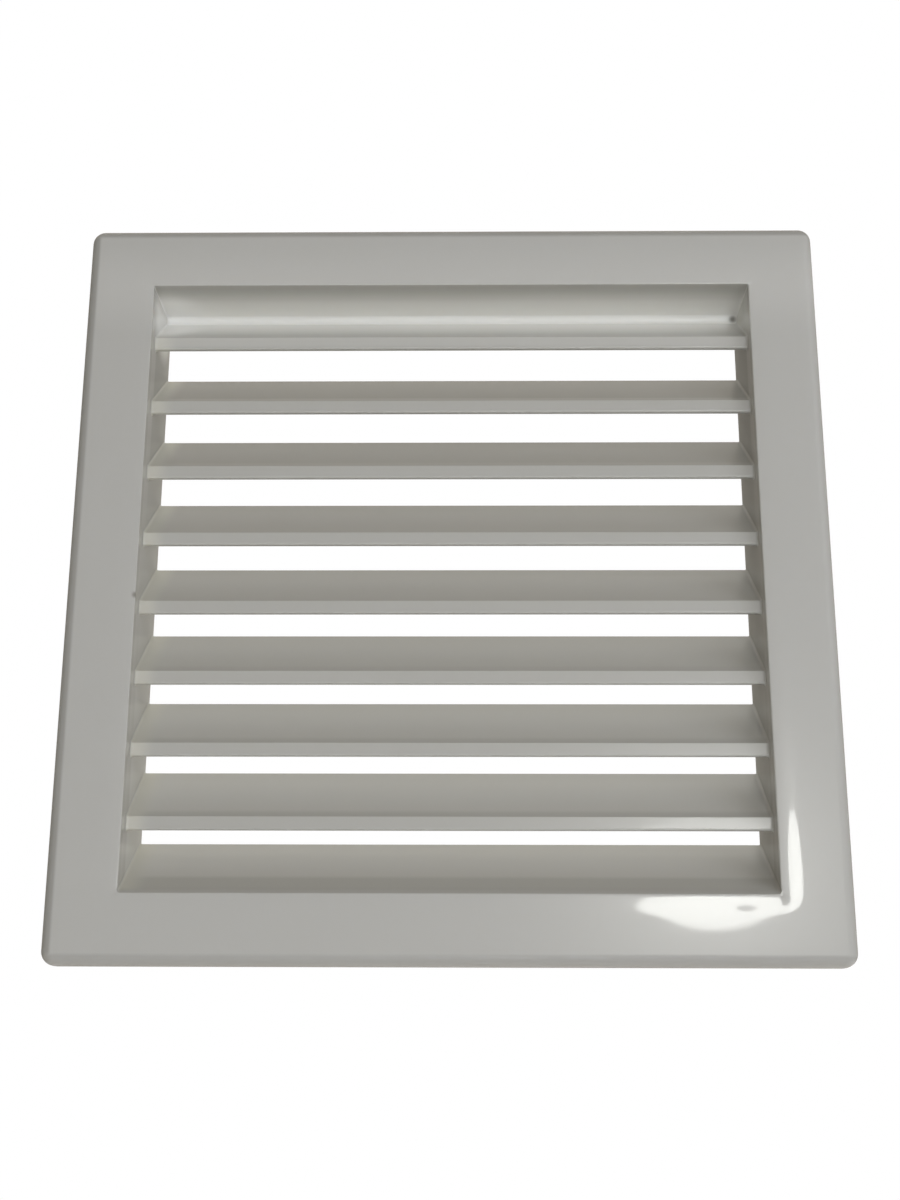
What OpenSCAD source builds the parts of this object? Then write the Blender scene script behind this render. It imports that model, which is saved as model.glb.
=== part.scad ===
// Square wall grille with fixed rain louvres, moulded in one piece in white plastic.
// X runs along the width, Z is up, and the louvres face -Y, away from the wall.
// The origin is the centre of the wall plane, where the back of the rim seats.

/* [Face plate] */
// Width of the face plate
face_w = 200; // [150:1:260]
// Height of the face plate
face_h = 200; // [150:1:260]
// Thickness of the front skin
skin_t = 2.2; // [1.6:0.1:3]
// Distance from the front face back to the wall
face_d = 5.6; // [5:0.1:9]
// Thickness of the rim that turns back to the wall
rim_t = 2; // [1.4:0.1:3]
// Radius of the round along the front edge
edge_r = 3; // [1:0.1:3.4]
// Radius of the outline at the four corners
corner_r = 3.6; // [3.5:0.1:12]

/* [Opening and collar] */
// Width of the upright borders beside the opening
stile_w = 18.3; // [12:0.1:30]
// Height of the borders above and below the opening
rail_h = 17.5; // [12:0.1:30]
// Wall thickness of the collar
collar_t = 2; // [1.4:0.1:3]
// Depth of the collar behind the wall plane
collar_d = 20; // [14:0.5:40]
// Radius of the collar's outer corners
collar_r = 1.5; // [0.5:0.1:2]

/* [Louvres] */
// Distance from one louvre to the next
pitch = 18.9; // [12:0.1:24]
// Height of the lowest lip's top edge above the opening's lower edge
first_lip = 19.6; // [18:0.1:24]
// Setback of the lips behind the front face
lip_set = 5.6; // [2:0.1:8]
// Height of the upright lip at the front of a louvre
lip_h = 3.4; // [3:0.1:4]
// Thickness of the lip
lip_t = 1.6; // [1.2:0.1:2.2]
// Radius of the lip's lower front edge
lip_r = 0.5; // [0.2:0.1:0.8]
// Thickness of a sloping blade
blade_t = 2.2; // [1.6:0.1:2.4]
// Rise of a blade from its lip to its rear edge
blade_rise = 14.3; // [10:0.1:18]
// Setback of the blades' rear edges inside the collar
blade_set = 1.2; // [0.4:0.1:4]

/* [Hidden] */
$fn = 64;
// Overlap that lets two joined shapes share material
weld = 0.6;
// Extra length of a cutting shape past the face that it cuts
past = 1;

open_w = face_w - 2 * stile_w;
open_h = face_h - 2 * rail_h;
open_bottom = -open_h / 2;
front_y = -face_d;
// As many louvres as leave half a pitch to one and a half above the topmost lip
louvre_n = round((open_h - first_lip) / pitch);
lip_y = front_y + lip_set;
rear_y = collar_d - blade_set;
blade_run = rear_y - lip_y;
blade_tan = blade_rise / blade_run;
// Thickness of a blade measured upright
blade_v = blade_t * sqrt(1 + blade_tan * blade_tan);
// The sill's rear edge keeps the pitch of the blades' rear edges
sill_rear = open_bottom + first_lip - pitch + blade_rise;
sill_run = rear_y - front_y;
sill_tan = (sill_rear - open_bottom) / sill_run;
sill_v = blade_t * sqrt(1 + sill_tan * sill_tan);

// Turns an outline drawn as (x, z) upright and gives it depth from y0 to y1
module upright(y0, y1) {
  translate([0, y1, 0])
    rotate([90, 0, 0])
      linear_extrude(y1 - y0)
        children();
}

// Runs a section drawn as (y, z) along X, centred on the grille
module along_x(length) {
  translate([-length / 2, 0, 0])
    rotate([90, 0, 90])
      linear_extrude(length)
        children();
}

// A rectangle with round corners, centred on the origin
module round_rect(w, h, r) {
  square([w - 2 * r, h], center = true);
  square([w, h - 2 * r], center = true);
  for (x = [-1, 1], z = [-1, 1])
    translate([x * (w / 2 - r), z * (h / 2 - r)])
      circle(r);
}

// Half of the plate's section, from an inner line out to its rounded front edge
module edge_half(reach) {
  square([reach, face_d - edge_r]);
  square([reach - edge_r, face_d]);
  translate([reach - edge_r, face_d - edge_r])
    intersection() {
      circle(edge_r);
      square(edge_r);
    }
}

// The plate as a full block, with its front edge rounded all round
module plate_block() {
  side_w = face_w / 2;
  side_h = face_h / 2;
  for (turn = [0, 180]) {
    rotate([0, turn, 0])
      translate([0, 0, -(side_h - corner_r)])
        mirror([0, 1, 0])
          linear_extrude(2 * (side_h - corner_r))
            edge_half(side_w);
    rotate([0, turn + 90, 0])
      translate([0, 0, -(side_w - corner_r)])
        mirror([0, 1, 0])
          linear_extrude(2 * (side_w - corner_r))
            edge_half(side_h);
  }
  for (x = [-1, 1], z = [-1, 1])
    translate([x * (side_w - corner_r), 0, z * (side_h - corner_r)])
      rotate([90, 0, 0])
        rotate_extrude()
          edge_half(corner_r);
}

// The hollow behind the front skin, between the rim and the collar
module plate_hollow() {
  upright(front_y + skin_t, past)
    difference() {
      round_rect(face_w - 2 * rim_t, face_h - 2 * rim_t, corner_r - rim_t);
      square([open_w + 2 * collar_t, open_h + 2 * collar_t], center = true);
    }
}

// The moulded face: front skin, rim and the cut for the opening
module face_plate() {
  difference() {
    plate_block();
    plate_hollow();
    upright(front_y - past, past)
      square([open_w, open_h], center = true);
  }
}

// The square collar that enters the wall
module collar() {
  upright(front_y + skin_t / 2, collar_d)
    difference() {
      round_rect(open_w + 2 * collar_t, open_h + 2 * collar_t, collar_r);
      square([open_w, open_h], center = true);
    }
}

// Section of one louvre, with its lip's top edge at z = 0
module louvre_section() {
  polygon([
    [lip_y, 0],
    [rear_y, blade_rise],
    [rear_y, blade_rise - blade_v],
    [lip_y, -blade_v]
  ]);
  difference() {
    translate([lip_y, -lip_h])
      square([lip_t, lip_h]);
    translate([lip_y, -lip_h])
      square(lip_r);
  }
  translate([lip_y + lip_r, -lip_h + lip_r])
    circle(lip_r);
}

// One louvre, welded into the side walls at both ends
module louvre(lip_top) {
  translate([0, 0, lip_top])
    along_x(open_w + 2 * weld)
      louvre_section();
}

// The louvres, the topmost one cut off where it meets the upper wall
module louvre_bank() {
  intersection() {
    for (i = [0 : louvre_n - 1])
      louvre(open_bottom + first_lip + i * pitch);
    along_x(open_w + 2 * weld)
      translate([front_y, open_bottom])
        square([sill_run, open_h + weld]);
  }
}

// The sill: a blade with no lip, which starts at the front face
module sill() {
  intersection() {
    along_x(open_w + 2 * weld)
      polygon([
        [front_y, open_bottom],
        [rear_y, sill_rear],
        [rear_y, sill_rear - sill_v],
        [front_y, open_bottom - sill_v]
      ]);
    along_x(open_w + 2 * weld)
      translate([front_y, open_bottom - weld])
        square([sill_run, open_h]);
  }
}

module grille() {
  color("whitesmoke")
    union() {
      face_plate();
      collar();
      louvre_bank();
      sill();
    }
}

grille();
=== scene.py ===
import math

import bmesh
import bpy
from mathutils import Matrix, Vector


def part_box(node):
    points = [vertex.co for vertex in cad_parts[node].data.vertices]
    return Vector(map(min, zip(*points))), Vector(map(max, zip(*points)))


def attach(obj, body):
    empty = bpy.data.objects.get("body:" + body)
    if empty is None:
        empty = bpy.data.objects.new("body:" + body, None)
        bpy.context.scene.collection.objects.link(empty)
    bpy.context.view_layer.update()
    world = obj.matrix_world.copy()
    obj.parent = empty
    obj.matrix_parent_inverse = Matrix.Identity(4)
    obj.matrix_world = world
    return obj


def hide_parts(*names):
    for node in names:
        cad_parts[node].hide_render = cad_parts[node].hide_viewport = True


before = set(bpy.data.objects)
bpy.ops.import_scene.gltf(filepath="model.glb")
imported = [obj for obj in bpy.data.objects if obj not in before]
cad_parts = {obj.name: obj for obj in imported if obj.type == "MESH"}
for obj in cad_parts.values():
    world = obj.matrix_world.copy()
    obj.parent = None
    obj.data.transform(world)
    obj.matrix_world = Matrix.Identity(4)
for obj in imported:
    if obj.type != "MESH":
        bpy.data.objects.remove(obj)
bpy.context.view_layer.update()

# Moulded shell: the face plate, the rim that turns back to the wall and the square collar behind it.
# The real piece is one injection moulding in glossy white plastic. The rim's rear face seats on the
# wall around the hole, and the collar sits inside the hole.
MM = 0.001
low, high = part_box("grille")
face_w = high.x - low.x
face_h = high.z - low.z
front_y = low.y
collar_rear = high.y
wall_y = 0.0
stile_w = 18.3 * MM
rail_h = 17.5 * MM
skin_t = 2.2 * MM
rim_t = 2.0 * MM
collar_t = 2.0 * MM
outer_round = 3.0 * MM
outline_corner = 3.6 * MM
collar_corner = 1.5 * MM
opening_corner = 0.4 * MM
lead_in = 0.35 * MM
tool_round = 0.3 * MM
root_fillet = 0.8 * MM
open_w = face_w - 2 * stile_w
open_h = face_h - 2 * rail_h

# The face draws in a little towards the opening, as cooling plastic does beside a wall behind it
sink_reach = 5.7 * MM
sink_stile = 0.25 * MM
sink_rail = 0.07 * MM

corner_steps = 10
outline = (face_w / 2, face_h / 2, outline_corner)
collar = (open_w / 2 + collar_t, open_h / 2 + collar_t, collar_corner)
opening = (open_w / 2, open_h / 2, opening_corner)


def arc(centre_u, centre_y, radius, start, end, steps=6):
    """Points of a section's round, with angles in degrees from outwards towards the wall."""
    for step in range(steps + 1):
        angle = math.radians(start + (end - start) * step / steps)
        yield centre_u + radius * math.cos(angle), centre_y + radius * math.sin(angle)


def ring(edge, grow, y, sink=0.0):
    """One row of points round the plate: an edge grown outwards, at depth y."""
    half_w, half_h, corner = edge
    corner = max(corner + grow, opening_corner)
    row = []
    for quarter, (side_x, side_z) in enumerate([(1, 1), (-1, 1), (-1, -1), (1, -1)]):
        for step in range(corner_steps + 1):
            angle = (quarter + step / corner_steps) * math.pi / 2
            out_x = math.cos(angle)
            out_z = math.sin(angle)
            x = side_x * (half_w + grow - corner) + corner * out_x
            z = side_z * (half_h + grow - corner) + corner * out_z
            drawn_in = sink * (sink_stile * out_x ** 2 + sink_rail * out_z ** 2)
            row.append((x, y + drawn_in, z))
    return row


def shell_rows():
    """The shell's section as rows, from the opening's front edge round to its wall again."""
    skin_back = front_y + skin_t
    for u, y in arc(lead_in, front_y + lead_in, lead_in, 180, 270):
        yield ring(opening, u, y, sink=1.0)
    sink_steps = 12
    for step in range(1, sink_steps + 1):
        share = step / sink_steps
        u = lead_in + (sink_reach - lead_in) * share
        yield ring(opening, u, front_y, sink=(1 - share) ** 2)
    for u, y in arc(-outer_round, front_y + outer_round, outer_round, -90, 0, 12):
        yield ring(outline, u, y)
    for u, y in arc(-tool_round, wall_y - tool_round, tool_round, 0, 90, 4):
        yield ring(outline, u, y)
    for u, y in arc(tool_round - rim_t, wall_y - tool_round, tool_round, 90, 180, 4):
        yield ring(outline, u, y)
    for u, y in arc(-rim_t - root_fillet, skin_back + root_fillet, root_fillet, 0, -90):
        yield ring(outline, u, y)
    for u, y in arc(root_fillet, skin_back + root_fillet, root_fillet, -90, -180):
        yield ring(collar, u, y)
    for u, y in arc(-tool_round, collar_rear - tool_round, tool_round, 0, 90, 4):
        yield ring(collar, u, y)
    for u, y in arc(tool_round, collar_rear - tool_round, tool_round, 90, 180, 4):
        yield ring(opening, u, y)


def weighted(piece):
    """A finished copy: faces outwards and smooth, with flat ones kept flat beside the rounds."""
    shape = bmesh.new()
    shape.from_mesh(piece.data)
    bmesh.ops.recalc_face_normals(shape, faces=shape.faces)
    for face in shape.faces:
        face.smooth = True
    shape.to_mesh(piece.data)
    shape.free()
    normals = piece.modifiers.new("flat_faces_stay_flat", "WEIGHTED_NORMAL")
    normals.weight = 100
    normals.keep_sharp = True
    graph = bpy.context.evaluated_depsgraph_get()
    finished = bpy.data.meshes.new_from_object(piece.evaluated_get(graph))
    name = piece.name
    bpy.data.objects.remove(piece)
    finished.name = name
    made = bpy.data.objects.new(name, finished)
    bpy.context.scene.collection.objects.link(made)
    return made


def closed_loft(name, rows):
    """A mesh between rows of as many points each, closed along and round."""
    mesh = bpy.data.meshes.new(name)
    count = len(rows[0])
    points = [point for row in rows for point in row]
    faces = []
    for i in range(len(rows)):
        after = (i + 1) % len(rows)
        for j in range(count):
            beside = (j + 1) % count
            faces.append(
                (i * count + j, i * count + beside, after * count + beside, after * count + j)
            )
    mesh.from_pydata(points, [], faces)
    piece = bpy.data.objects.new(name, mesh)
    bpy.context.scene.collection.objects.link(piece)
    return piece


shell = weighted(closed_loft("moulded_shell", list(shell_rows())))


def linear(hex_colour):
    """A colour written as in an image editor, as the renderer's linear values."""
    channels = [int(hex_colour[i:i + 2], 16) / 255 for i in (1, 3, 5)]
    return [c / 12.92 if c <= 0.04045 else ((c + 0.055) / 1.055) ** 2.4 for c in channels]


def add(tree, kind, inputs=None, **settings):
    """Adds a node. An input is a value, a node to link by its first output, or a pair of a node
    and the output to link."""
    node = tree.nodes.new(kind)
    for key, value in settings.items():
        setattr(node, key, value)
    for key, value in (inputs or {}).items():
        if isinstance(value, bpy.types.Node):
            value = (value, 0)
        if isinstance(value, tuple) and isinstance(value[0], bpy.types.Node):
            tree.links.new(value[0].outputs[value[1]], node.inputs[key])
        else:
            node.inputs[key].default_value = value
    return node


def gloss_white_plastic():
    """Injection-moulded white plastic: a polished tool leaves a sharp reflection over a broad
    soft sheen, with faint waves from cooling. It lets a little light in, which softens creases.
    Years outdoors have greyed it a little. The layers below paint light and shade onto it: whiter
    towards the top trough's crease, and lighter or darker in places inside the opening and along its
    outer edge."""
    material = bpy.data.materials.new("gloss_white_moulded_plastic")
    material.use_nodes = True
    tree = material.node_tree
    tree.nodes.clear()
    texture_place = add(tree, "ShaderNodeTexCoord")
    here = (texture_place, "Object")
    where = add(tree, "ShaderNodeSeparateXYZ", {"Vector": here})
    across = (where, "X")
    depth = (where, "Y")
    height = (where, "Z")
    aside = add(tree, "ShaderNodeMath", {0: across}, operation="ABSOLUTE")
    side_wall = open_w / 2
    upper_wall = open_h / 2

    # Distances from the marks that time left and from the middles of painted light, in space scaled
    # by the first triple of each
    distance = {}
    for mark, scale, centre in (
        ("trough crease", (0, 1, 1), (0, 17.2 * MM, upper_wall)),
        ("painted glow corner", (1, 1, 1), (-side_wall, 9 * MM, 79 * MM)),
        ("trough speck", (1, 1, 1), (80.6 * MM, 14.3 * MM, 81.6 * MM)),
        ("frame speck", (1, 1, 1), (-side_wall, -5.4 * MM, -6.0 * MM)),
        ("smudge", (0.35, 1, 1), (72.8 * MM, front_y, -85.9 * MM)),
    ):
        scaled = add(tree, "ShaderNodeVectorMath", {0: here, 1: scale}, operation="MULTIPLY")
        middle = [factor * part for factor, part in zip(scale, centre)]
        off = add(tree, "ShaderNodeVectorMath", {0: scaled, 1: middle}, operation="DISTANCE")
        distance[mark] = (off, "Value")

    # The top blade bounds the crease's painted light: its surface is the height less depth times
    # slope
    rise_per_depth = 0.762
    blade_height = add(
        tree,
        "ShaderNodeMath",
        {0: depth, 1: -rise_per_depth, 2: height},
        operation="MULTIPLY_ADD",
    )
    leftwards = add(tree, "ShaderNodeMath", {0: across, 1: -1.0}, operation="MULTIPLY")
    upwards = add(tree, "ShaderNodeMath", {0: height}, operation="ABSOLUTE")
    outwards = add(tree, "ShaderNodeMath", {0: leftwards, 1: upwards}, operation="MAXIMUM")

    # Every layer has a colour, a share, and the ramps that bound it. A ramp is what it measures,
    # where it starts and where it is full. Those at the walls are a tenth of a millimetre wide.
    behind_face = (depth, -5.2 * MM, -3 * MM)
    behind_lips = (depth, 1 * MM, 3 * MM)
    outline_edge = face_w / 2
    near_wall = 0.05 * MM
    off_wall = 0.15 * MM
    under_wall = 0.1 * MM
    over_wall = 0.2 * MM
    layers = [
        # Painted shade: everything inside the opening is a little greyer, as the recess gets less
        # light than the face
        ("#B1B0AA", 1.0, [behind_face]),
        # Painted shade on the upper blades and painted light on the lower ones: darker towards the
        # top, paler towards the bottom
        ("#A4A39D", 1.0, [behind_lips, (height, 0, 60 * MM)]),
        ("#BEBDB7", 1.0, [behind_lips, (height, 10 * MM, -75 * MM)]),
        # Painted light: the left ends of the blades are paler, standing in for light bounced off the
        # lit left wall, but not the wall that they run into
        (
            "#C0BEB3",
            1.0,
            [
                behind_face,
                (across, -75 * MM, -80.5 * MM),
                (across, near_wall - side_wall, off_wall - side_wall),
            ],
        ),
        # Painted light: whiter towards the crease of the top trough, standing in for the glow there
        (
            "#EAE9E3",
            1.0,
            [(distance["trough crease"], 28 * MM, 4 * MM), (blade_height, 66.2 * MM, 67 * MM)],
        ),
        # Painted light: whiter too on the left wall beside the trough, where the trough's glow
        # spreads
        ("#ECEBE6", 1.0, [behind_face, (distance["painted glow corner"], 14 * MM, 5 * MM)]),
        # Painted shade: greyer on the front of the upper wall
        (
            "#9E9D96",
            0.8,
            [
                (depth, 6 * MM, -4 * MM),
                (height, upper_wall - over_wall, upper_wall - under_wall),
                (height, upper_wall + over_wall, upper_wall + under_wall),
                (aside, side_wall - near_wall, side_wall - off_wall),
            ],
        ),
        # Painted shade: greyer along the outer edge where it faces away from the light, but not on
        # its right side, which faces it
        ("#A09F9A", 1.0, [(outwards, outline_edge - 3.2 * MM, outline_edge - 2.1 * MM)]),
        # A dark speck at the right end of the trough and one on the left inner edge of the frame
        ("#86847D", 1.0, [(distance["trough speck"], 1.5 * MM, 0.19 * MM)]),
        ("#86847D", 1.0, [(distance["frame speck"], 1.3 * MM, 0.16 * MM)]),
    ]

    colour = (*linear("#B5B4AF"), 1)
    for layer_colour, share, ramps in layers:
        for measure, start, full in ramps:
            ramp = add(
                tree,
                "ShaderNodeMapRange",
                {"Value": measure, "From Min": start, "From Max": full},
                interpolation_type="SMOOTHSTEP",
            )
            share = add(tree, "ShaderNodeMath", {0: share, 1: ramp}, operation="MULTIPLY")
        layer = add(
            tree,
            "ShaderNodeMix",
            {0: share, 6: colour, 7: (*linear(layer_colour), 1)},
            data_type="RGBA",
        )
        colour = (layer, 2)

    # A faint smudge, wider than high, dulls the gloss low on the right of the face, and inside
    # the opening fine dust dulls it
    clean_gloss = 0.55
    smudged_gloss = 0.1
    dusty_gloss = 0.12
    gloss = clean_gloss
    for measure, start, end, first_gloss, last_gloss in (
        (distance["smudge"], 0.4 * MM, 1.2 * MM, smudged_gloss, clean_gloss),
        (depth, -4 * MM, -2 * MM, clean_gloss, dusty_gloss),
    ):
        limit = add(
            tree,
            "ShaderNodeMapRange",
            {
                "Value": measure,
                "From Min": start,
                "From Max": end,
                "To Min": first_gloss,
                "To Max": last_gloss,
            },
            interpolation_type="SMOOTHSTEP",
        )
        gloss = add(tree, "ShaderNodeMath", {0: gloss, 1: limit}, operation="MINIMUM")

    wave_size = 30 * MM
    wave_height = 0.02 * MM
    waves = add(
        tree,
        "ShaderNodeTexNoise",
        {"Vector": here, "Scale": 1 / wave_size, "Detail": 1.0},
    )
    bump = add(
        tree,
        "ShaderNodeBump",
        {"Height": (waves, "Fac"), "Strength": 1.0, "Distance": wave_height},
    )
    plastic = add(
        tree,
        "ShaderNodeBsdfPrincipled",
        {
            "Base Color": colour,
            "Roughness": 0.24,
            "IOR": 1.5,
            "Specular IOR Level": 0.65,
            "Coat Weight": gloss,
            "Coat Roughness": 0.04,
            "Coat IOR": 1.5,
            "Subsurface Weight": 0.15,
            "Subsurface Radius": (1.2 * MM, 1.1 * MM, 0.9 * MM),
            "Subsurface Scale": 1.0,
            "Normal": bump,
        },
    )
    add(tree, "ShaderNodeOutputMaterial", {"Surface": plastic})
    return material


white_plastic = gloss_white_plastic()
shell.data.materials.append(white_plastic)
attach(shell, "root")
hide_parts("grille")

# Louvres: eight fixed blades across the opening, each with an upright lip along its front edge.
# They are of the same plastic and the same shot as the shell, with a small fillet where each end
# runs into the collar's side walls. The topmost one closes against the upper wall.
pitch = 18.9 * MM
first_lip = 19.6 * MM
lip_set = 5.6 * MM
lip_h = 3.4 * MM
lip_t = 1.6 * MM
blade_t = 2.2 * MM
blade_rise = 14.3 * MM
blade_set = 1.2 * MM
wall_fillet = 0.6 * MM
weld = 0.2 * MM
open_bottom = -open_h / 2
louvre_count = round((open_h - first_lip) / pitch)
lip_y = front_y + lip_set
rear_y = collar_rear - blade_set
blade_slope = blade_rise / (rear_y - lip_y)
blade_v = blade_t * math.hypot(1, blade_slope)
# Each corner is depth, height above the lip's top edge, and the radius of its round
louvre_section = [
    (lip_y, 0, 0.25 * MM),
    (lip_y, -lip_h, 0.5 * MM),
    (lip_y + lip_t, -lip_h, 0.3 * MM),
    (lip_y + lip_t, lip_t * blade_slope - blade_v, 0.6 * MM),
    (rear_y, blade_rise - blade_v, 0.3 * MM),
    (rear_y, blade_rise, 0.3 * MM),
]


def sweep_tree():
    """Geometry nodes that round a section, sweep it between the side walls with a fillet at
    both ends and repeat it upwards."""
    tree = bpy.data.node_groups.new("swept_blades", "GeometryNodeTree")
    interface = tree.interface
    interface.new_socket("Section", in_out="INPUT", socket_type="NodeSocketGeometry")
    for name in ("Span", "Weld", "Wall fillet", "Front limit", "Pitch", "First height"):
        interface.new_socket(name, in_out="INPUT", socket_type="NodeSocketFloat")
    interface.new_socket("Count", in_out="INPUT", socket_type="NodeSocketInt")
    interface.new_socket("Material", in_out="INPUT", socket_type="NodeSocketMaterial")
    interface.new_socket("Blades", in_out="OUTPUT", socket_type="NodeSocketGeometry")
    given = add(tree, "NodeGroupInput")

    # The section, with its corners rounded by each point's own radius
    own_radius = add(tree, "GeometryNodeInputRadius")
    round_steps = 5
    rounded = add(
        tree,
        "GeometryNodeFilletCurve",
        {
            "Curve": (given, "Section"),
            "Radius": own_radius,
            "Count": round_steps,
            "Limit Radius": True,
        },
        mode="POLY",
    )
    tangent = add(tree, "GeometryNodeInputTangent")
    capture = add(tree, "GeometryNodeCaptureAttribute", {"Geometry": rounded})
    capture.capture_items.new("VECTOR", "along_section")
    tree.links.new(tangent.outputs["Tangent"], capture.inputs["along_section"])

    # The path across the opening, with its points crowded towards the side walls
    path_points = 57
    crowding = 3.0
    half_span = add(tree, "ShaderNodeMath", {0: (given, "Span"), 1: 0.5}, operation="MULTIPLY")
    line = add(tree, "GeometryNodeCurvePrimitiveLine", {"Start": (0, 0, -1), "End": (0, 0, 1)})
    spaced = add(tree, "GeometryNodeResampleCurve", {"Curve": line, "Count": path_points})
    where = add(tree, "GeometryNodeInputPosition")
    parts = add(tree, "ShaderNodeSeparateXYZ", {"Vector": where})
    side = add(tree, "ShaderNodeMath", {0: (parts, "Z")}, operation="SIGN")
    aside = add(tree, "ShaderNodeMath", {0: (parts, "Z")}, operation="ABSOLUTE")
    left_over = add(tree, "ShaderNodeMath", {0: 1.0, 1: aside}, operation="SUBTRACT")
    left_crowded = add(tree, "ShaderNodeMath", {0: left_over, 1: crowding}, operation="POWER")
    reach = add(tree, "ShaderNodeMath", {0: 1.0, 1: left_crowded}, operation="SUBTRACT")
    inside = add(tree, "ShaderNodeMath", {0: reach, 1: half_span}, operation="MULTIPLY")
    at_end = add(tree, "GeometryNodeCurveEndpointSelection", {"Start Size": 1, "End Size": 1})
    into_wall = add(
        tree, "ShaderNodeMath", {0: at_end, 1: (given, "Weld")}, operation="MULTIPLY"
    )
    distance = add(tree, "ShaderNodeMath", {0: inside, 1: into_wall}, operation="ADD")
    along_path = add(tree, "ShaderNodeMath", {0: distance, 1: side}, operation="MULTIPLY")
    path_place = add(tree, "ShaderNodeCombineXYZ", {"Z": along_path})
    path = add(tree, "GeometryNodeSetPosition", {"Geometry": spaced, "Position": path_place})
    sweep = add(
        tree,
        "GeometryNodeCurveToMesh",
        {"Curve": path, "Profile Curve": capture, "Fill Caps": True},
    )

    # The fillet at both walls: the section grows by a quarter circle over the last stretch, and
    # goes on widening inside the wall so that the visible edge runs smoothly into it
    growth_inside_wall = 3.0
    fillet = (given, "Wall fillet")
    swept_where = add(tree, "GeometryNodeInputPosition")
    swept_parts = add(tree, "ShaderNodeSeparateXYZ", {"Vector": swept_where})
    start = add(tree, "ShaderNodeMath", {0: half_span, 1: fillet}, operation="SUBTRACT")
    off_middle = add(tree, "ShaderNodeMath", {0: (swept_parts, "Z")}, operation="ABSOLUTE")
    past_start = add(tree, "ShaderNodeMath", {0: off_middle, 1: start}, operation="SUBTRACT")
    from_start = add(tree, "ShaderNodeMath", {0: past_start, 1: 0.0}, operation="MAXIMUM")
    over = add(tree, "ShaderNodeMath", {0: from_start, 1: fillet}, operation="MINIMUM")
    fillet_square = add(tree, "ShaderNodeMath", {0: fillet, 1: fillet}, operation="MULTIPLY")
    over_square = add(tree, "ShaderNodeMath", {0: over, 1: over}, operation="MULTIPLY")
    drop = add(tree, "ShaderNodeMath", {0: fillet_square, 1: over_square}, operation="SUBTRACT")
    kept_drop = add(tree, "ShaderNodeMath", {0: drop, 1: 0.0}, operation="MAXIMUM")
    root = add(tree, "ShaderNodeMath", {0: kept_drop}, operation="SQRT")
    quarter = add(tree, "ShaderNodeMath", {0: fillet, 1: root}, operation="SUBTRACT")
    past_wall = add(tree, "ShaderNodeMath", {0: past_start, 1: fillet}, operation="SUBTRACT")
    hidden = add(tree, "ShaderNodeMath", {0: past_wall, 1: 0.0}, operation="MAXIMUM")
    growth = add(
        tree,
        "ShaderNodeMath",
        {0: hidden, 1: growth_inside_wall, 2: quarter},
        operation="MULTIPLY_ADD",
    )

    # Every section runs anticlockwise, so outwards is its tangent turned a quarter to the right
    along = add(tree, "ShaderNodeSeparateXYZ", {"Vector": (capture, "along_section")})
    turned = add(tree, "ShaderNodeMath", {0: (along, "X"), 1: -1.0}, operation="MULTIPLY")
    outwards = add(tree, "ShaderNodeCombineXYZ", {"X": (along, "Y"), "Y": turned})
    grown = add(
        tree, "ShaderNodeVectorMath", {0: outwards, "Scale": growth}, operation="SCALE"
    )
    widened = add(tree, "ShaderNodeVectorMath", {0: swept_where, 1: grown}, operation="ADD")

    # The widening stays behind the front limit. The other two ways have none, so theirs is far off.
    far_off = -1.0
    front_limit = add(
        tree, "ShaderNodeCombineXYZ", {"X": (given, "Front limit"), "Y": far_off, "Z": far_off}
    )
    kept_behind = add(
        tree, "ShaderNodeVectorMath", {0: widened, 1: front_limit}, operation="MAXIMUM"
    )
    flared = add(tree, "GeometryNodeSetPosition", {"Geometry": sweep, "Position": kept_behind})

    # Upright, then repeated up the opening
    upright = add(
        tree,
        "GeometryNodeTransform",
        {"Geometry": flared, "Rotation": (math.pi / 2, 0, math.pi / 2)},
    )
    first = add(tree, "ShaderNodeCombineXYZ", {"Z": (given, "First height")})
    step = add(tree, "ShaderNodeCombineXYZ", {"Z": (given, "Pitch")})
    places = add(
        tree,
        "GeometryNodeMeshLine",
        {"Count": (given, "Count"), "Start Location": first, "Offset": step},
    )
    copies = add(tree, "GeometryNodeInstanceOnPoints", {"Points": places, "Instance": upright})
    real = add(tree, "GeometryNodeRealizeInstances", {"Geometry": copies})
    painted = add(
        tree, "GeometryNodeSetMaterial", {"Geometry": real, "Material": (given, "Material")}
    )
    add(tree, "NodeGroupOutput", {"Blades": painted})
    return tree


blade_tree = sweep_tree()


def swept(name, section, count, first_height, front_limit=front_y):
    """A piece swept across the opening from a section of (depth, height, round) corners."""
    curve = bpy.data.curves.new(name, "CURVE")
    curve.dimensions = "3D"
    spline = curve.splines.new("POLY")
    spline.points.add(len(section) - 1)
    for point, (depth, height, radius) in zip(spline.points, section):
        point.co = (depth, height, 0, 1)
        point.radius = radius
    spline.use_cyclic_u = True
    piece = bpy.data.objects.new(name, curve)
    bpy.context.scene.collection.objects.link(piece)
    modifier = piece.modifiers.new("blades", "NODES")
    modifier.node_group = blade_tree
    sizes = {
        "Span": open_w,
        "Weld": weld,
        "Wall fillet": wall_fillet,
        "Front limit": front_limit,
        "Pitch": pitch,
        "First height": first_height,
        "Count": count,
        "Material": white_plastic,
    }
    for item in blade_tree.interface.items_tree:
        if item.in_out == "INPUT" and item.name in sizes:
            modifier[item.identifier] = sizes[item.name]
    graph = bpy.context.evaluated_depsgraph_get()
    mesh = bpy.data.meshes.new_from_object(piece.evaluated_get(graph))
    bpy.data.objects.remove(piece)
    mesh.name = name
    plain = bpy.data.objects.new(name, mesh)
    bpy.context.scene.collection.objects.link(plain)
    return weighted(plain)


louvres = swept("louvre_bank", louvre_section, louvre_count, open_bottom + first_lip)
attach(louvres, "root")
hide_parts("grille")

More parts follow.
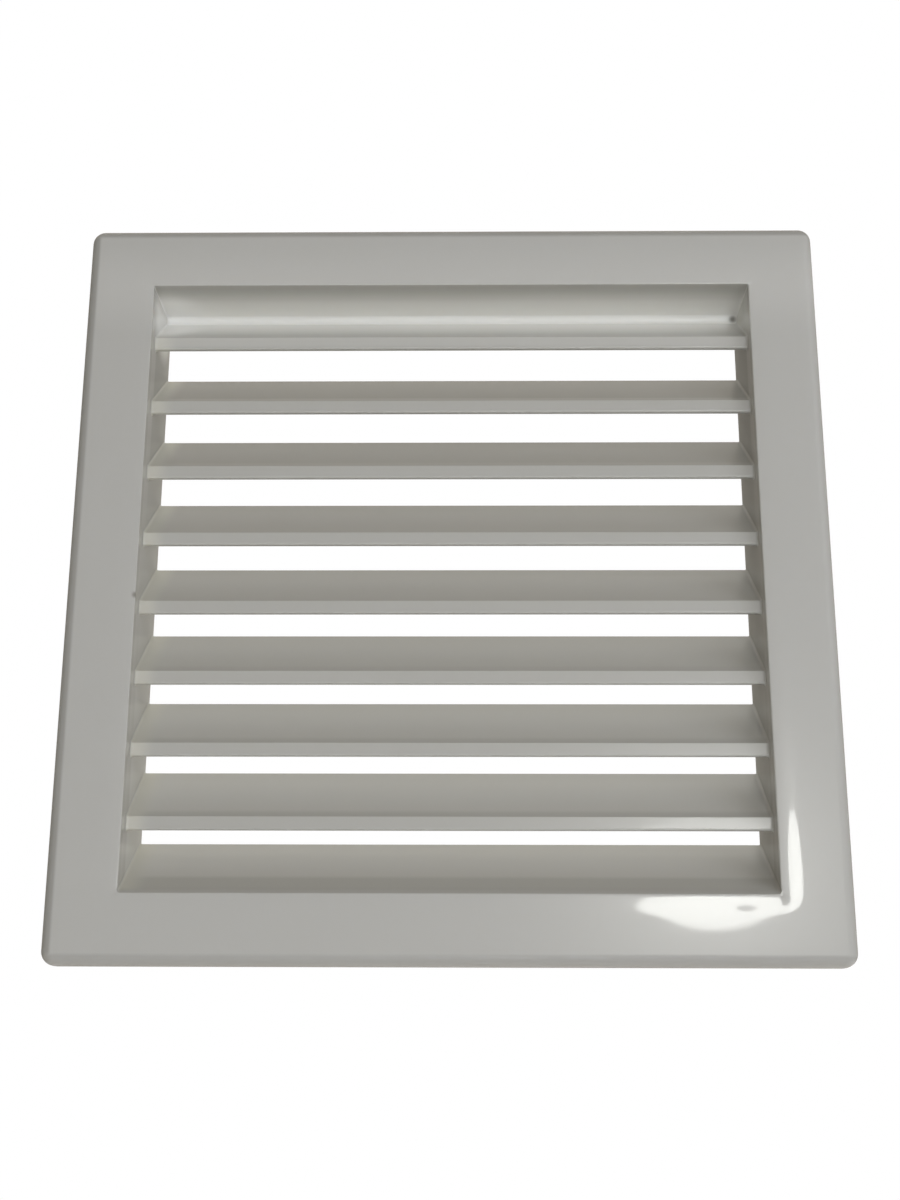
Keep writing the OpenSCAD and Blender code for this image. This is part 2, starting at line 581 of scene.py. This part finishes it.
# Sill: the slope at the foot of the opening. It has no lip and starts at the face's front edge,
# so that rain runs off over the lower border. It belongs to the same moulding.
sill_rise = first_lip - pitch + blade_rise
sill_sunk = 0.01 * MM
sill_front = front_y + sink_rail + sill_sunk
sill_slope = sill_rise / (rear_y - sill_front)
sill_v = blade_t * math.hypot(1, sill_slope)
sill_root = 0.6 * MM
sill_section = [
    (sill_front, 0, 0.4 * MM),
    (sill_front, -sill_root, 0),
    (sill_front + (sill_v - sill_root) / sill_slope, -sill_root, 0),
    (rear_y, sill_rise - sill_v, 0.3 * MM),
    (rear_y, sill_rise, 0.3 * MM),
]
sill = swept("rain_sill", sill_section, 1, open_bottom, front_limit=sill_front)
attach(sill, "root")
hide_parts("grille")

# Crease of the top trough: where the topmost blade runs into the upper wall, the tool left a
# fillet, which closes the moulding there. It is part of the same shot.
crease_round = 1.4 * MM
crease_sunk = 0.01 * MM
crease_bed = 0.5 * MM
crease_front = front_y + lead_in
run_end_set = 1.0 * MM
run_end_y = lip_y + run_end_set
crease_steps = 16
top_lip = open_bottom + first_lip + (louvre_count - 1) * pitch
crease_up = open_h / 2 - top_lip + crease_sunk
crease_y = lip_y + (crease_up + crease_sunk * math.hypot(1, blade_slope)) / blade_slope
blade_angle = math.atan(blade_slope)
crease_centre_y = crease_y - crease_round / math.tan(blade_angle / 2)
crease_centre_up = crease_up - crease_round
crease_section = [
    (crease_front, crease_up + crease_bed, 0),
    (crease_front, crease_up, 0),
]
for step in range(crease_steps + 1):
    turn = math.pi / 2 - (math.pi - blade_angle) * step / crease_steps
    crease_section.append(
        (
            crease_centre_y + crease_round * math.cos(turn),
            crease_centre_up + crease_round * math.sin(turn),
            0,
        )
    )
run_end_up = crease_up - (crease_y - run_end_y) * blade_slope
crease_section += [
    (run_end_y, run_end_up, 0),
    (
        run_end_y + crease_bed * math.sin(blade_angle),
        run_end_up - crease_bed * math.cos(blade_angle),
        0,
    ),
    (crease_y + crease_bed, crease_up - crease_bed, 0),
    (crease_y + crease_bed, crease_up + crease_bed, 0),
]
crease = swept("trough_crease", crease_section, 1, top_lip, front_limit=crease_front)
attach(crease, "root")
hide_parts("grille")

# Camera: below the grille and looking up at it, as in the photograph. Its place, turn and lens
# come from a fit to the edges seen there.
camera_data = bpy.data.cameras.new("camera")
camera_data.sensor_width = 36
camera_data.lens = 46.025
camera_data.clip_start = 0.01
camera_place = (0.00571, -0.38777, -0.11582)
camera = bpy.data.objects.new("camera", camera_data)
turn_left = Matrix.Rotation(math.radians(0.826), 4, "Z")
pitch_up = Matrix.Rotation(math.radians(90 + 15.811), 4, "X")
roll = Matrix.Rotation(math.radians(0.201), 4, "Z")
camera.matrix_world = Matrix.Translation(camera_place) @ turn_left @ pitch_up @ roll
bpy.context.scene.collection.objects.link(camera)
bpy.context.scene.camera = camera

# Floor: a plain pale sheet well below the grille, which is at its height on a wall.
floor_mesh = bpy.data.meshes.new("floor")
floor_z = -0.5
floor_half = 1.5
floor_mesh.from_pydata(
    [(x * floor_half, y * floor_half, floor_z) for x, y in ((-1, -1), (1, -1), (1, 1), (-1, 1))],
    [],
    [(0, 1, 2, 3)],
)
floor = bpy.data.objects.new("floor", floor_mesh)
bpy.context.scene.collection.objects.link(floor)
floor_paint = bpy.data.materials.new("pale_floor")
floor_paint.use_nodes = True
floor_shader = floor_paint.node_tree.nodes["Principled BSDF"]
floor_shader.inputs["Base Color"].default_value = (*linear("#EFEEEC"), 1)
floor_shader.inputs["Roughness"].default_value = 0.8
floor_mesh.materials.append(floor_paint)

# Light: a dim pale room with one window to the front right, a soft lamp beside the camera, a small
# bright one whose reflection lies on the lower right of the face, and lamps above and behind.
# The lamps themselves stay out of the picture.


def area_light(name, place, aim, width, height, power, colour="#FFFFFF", shape="RECTANGLE"):
    """A soft light that looks from its place towards a point."""
    data = bpy.data.lights.new(name, "AREA")
    data.shape = shape
    data.size = width
    data.size_y = height
    data.energy = power
    data.color = linear(colour)
    light = bpy.data.objects.new(name, data)
    away = Vector(place) - Vector(aim)
    turn = away.to_track_quat("Z", "Y").to_matrix().to_4x4()
    light.matrix_world = Matrix.Translation(place) @ turn
    light.visible_camera = False
    bpy.context.scene.collection.objects.link(light)
    return light


grille_middle = (0, 0, 0)
window = area_light(
    "window",
    place=(0.82, -0.82, 0.27),
    aim=grille_middle,
    width=0.8,
    height=0.8,
    power=4.05,
    colour="#EEF3FF",
)
camera_side_lamp = area_light(
    "camera_side_lamp",
    place=(0.06, -1.15, -0.33),
    aim=grille_middle,
    width=0.5,
    height=0.5,
    power=6.8,
    colour="#F0F5FF",
)
area_light(
    "small_bright_lamp",
    place=(0.2486, -1.1855, 0.0422),
    aim=(0.0651, -0.0056, -0.0772),
    width=0.155,
    height=0.119,
    power=0.8,
    colour="#FDFEFA",
    shape="ELLIPSE",
)
top_lamp = area_light(
    "top_lamp",
    place=(0, 0.35, 0.7),
    aim=(0, 0.012, 0),
    width=0.5,
    height=0.3,
    power=3.4,
)
rear_lamp = area_light(
    "rear_lamp",
    place=(1.13, 1.13, 0.28),
    aim=grille_middle,
    width=1.2,
    height=1.2,
    power=16.5,
)
for soft_light in (window, camera_side_lamp, top_lamp, rear_lamp):
    soft_light.visible_glossy = False

# The room is white where it is seen directly, and lights the grille and shows in its gloss as a
# much dimmer grey, paler overhead.
fill_strength = 0.182
overhead_strength = 0.35
overhead_starts = 0.5
overhead_full = 0.75
white_in_gloss = 0.08
world = bpy.data.worlds.new("pale_room")
world.use_nodes = True
bpy.context.scene.world = world
room = world.node_tree
room.nodes.clear()
ray = add(room, "ShaderNodeLightPath")
direction = add(room, "ShaderNodeTexCoord")
upwards = add(room, "ShaderNodeSeparateXYZ", {"Vector": (direction, "Generated")})
overhead = add(
    room,
    "ShaderNodeMapRange",
    {
        "Value": (upwards, "Z"),
        "From Min": overhead_starts,
        "From Max": overhead_full,
        "To Min": fill_strength,
        "To Max": overhead_strength,
    },
    interpolation_type="SMOOTHSTEP",
)
gloss_share = add(
    room,
    "ShaderNodeMath",
    {0: (ray, "Is Glossy Ray"), 1: white_in_gloss},
    operation="MULTIPLY",
)
seen = add(
    room,
    "ShaderNodeMath",
    {0: (ray, "Is Camera Ray"), 1: (ray, "Is Transmission Ray")},
    operation="MAXIMUM",
)
seen_or_glossy = add(room, "ShaderNodeMath", {0: seen, 1: gloss_share}, operation="MAXIMUM")
fill = add(
    room,
    "ShaderNodeBackground",
    {"Color": (*linear("#FFF3DE"), 1), "Strength": overhead},
)
white = add(room, "ShaderNodeBackground", {"Color": (1, 1, 1, 1), "Strength": 1.0})
choice = add(room, "ShaderNodeMixShader", {0: seen_or_glossy, 1: fill, 2: white})
add(room, "ShaderNodeOutputWorld", {"Surface": choice})

bpy.context.scene.view_settings.view_transform = "Standard"
